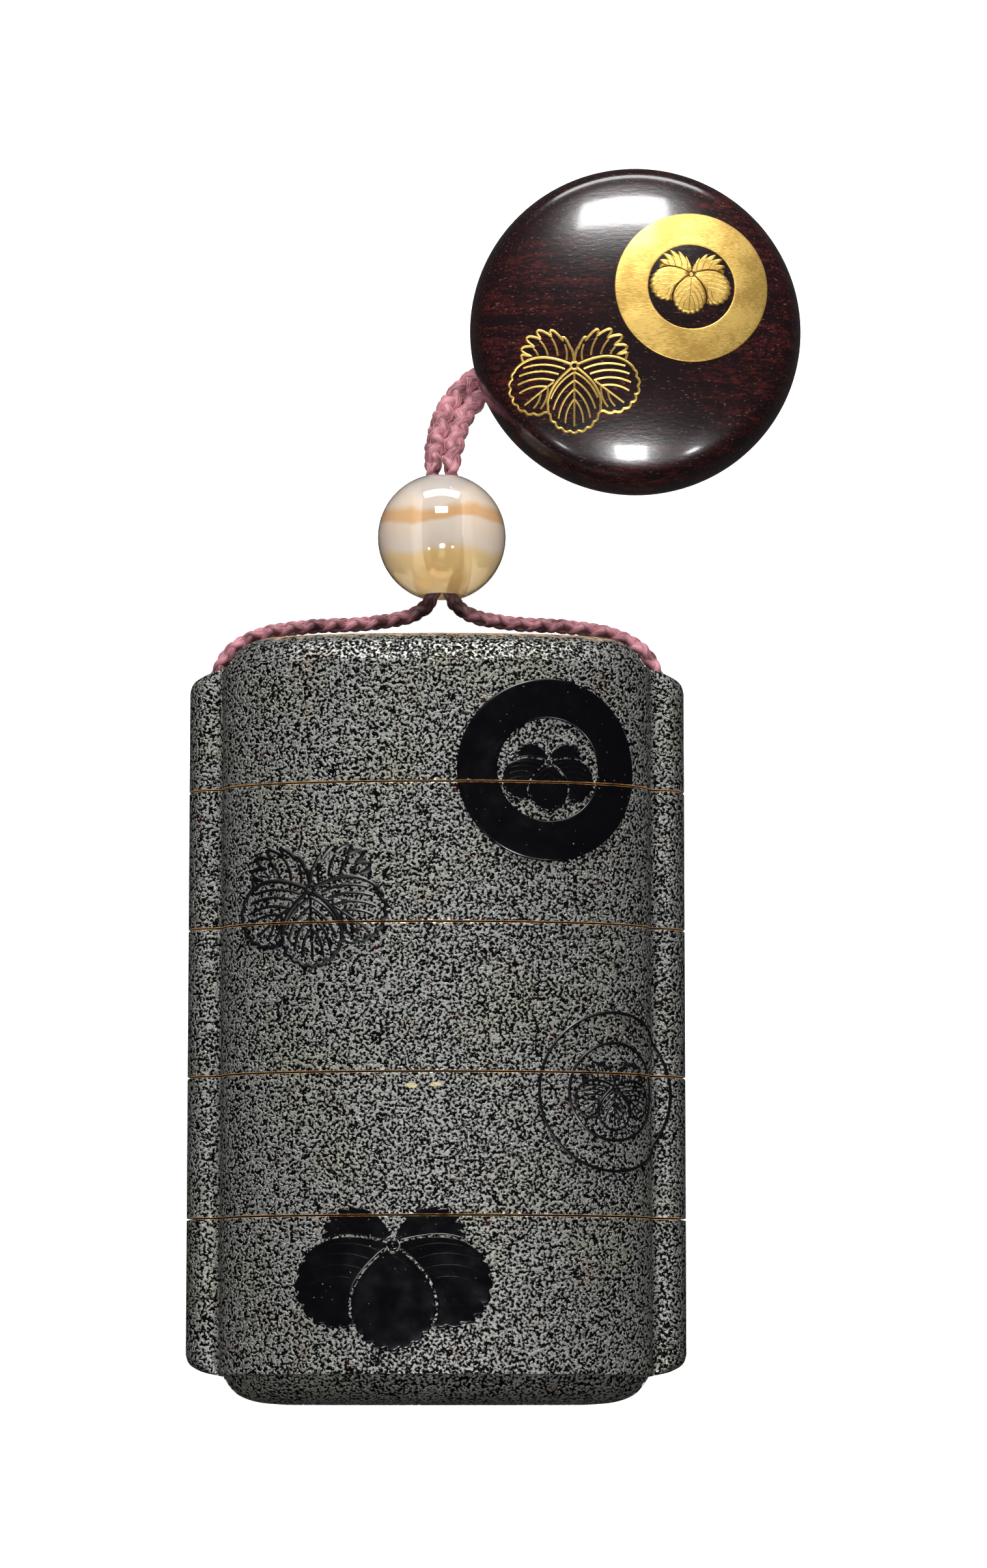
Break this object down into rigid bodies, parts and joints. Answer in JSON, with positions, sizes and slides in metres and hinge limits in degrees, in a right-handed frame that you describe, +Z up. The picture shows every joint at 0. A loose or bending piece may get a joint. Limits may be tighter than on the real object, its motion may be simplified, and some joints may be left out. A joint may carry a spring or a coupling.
{
  "type": "inro case",
  "caption": "Stacked lacquer inro with side cord runners, ivy crests, a braided cord, a bead and a round netsuke.",
  "frame": {"origin": "middle of the flat strip on the back that the case lies on", "axes": "+Y from the foot to the lid, +Z up out of the front, +X to the right of the front"},
  "size_m": [0.0718, 0.146, 0.0238],
  "materials": {
    "textured_lacquer": "granular dark grey lacquer over a wood core, worn brown at the edges",
    "gloss_lacquer": "polished black lacquer of the crests",
    "gold_lacquer": "worn gold lacquer on the netsuke",
    "rosewood": "polished dark rosewood",
    "agate": "polished banded translucent agate",
    "silk_braid": "braided dusty rose silk"
  },
  "bodies": {
    "root": {"lid": "textured_lacquer", "upper_case": "textured_lacquer", "middle_case": "textured_lacquer", "lower_case": "textured_lacquer", "bottom_case": "textured_lacquer", "cord": "silk_braid", "bead": "agate", "netsuke": "rosewood"}
  },
  "joints": []
}
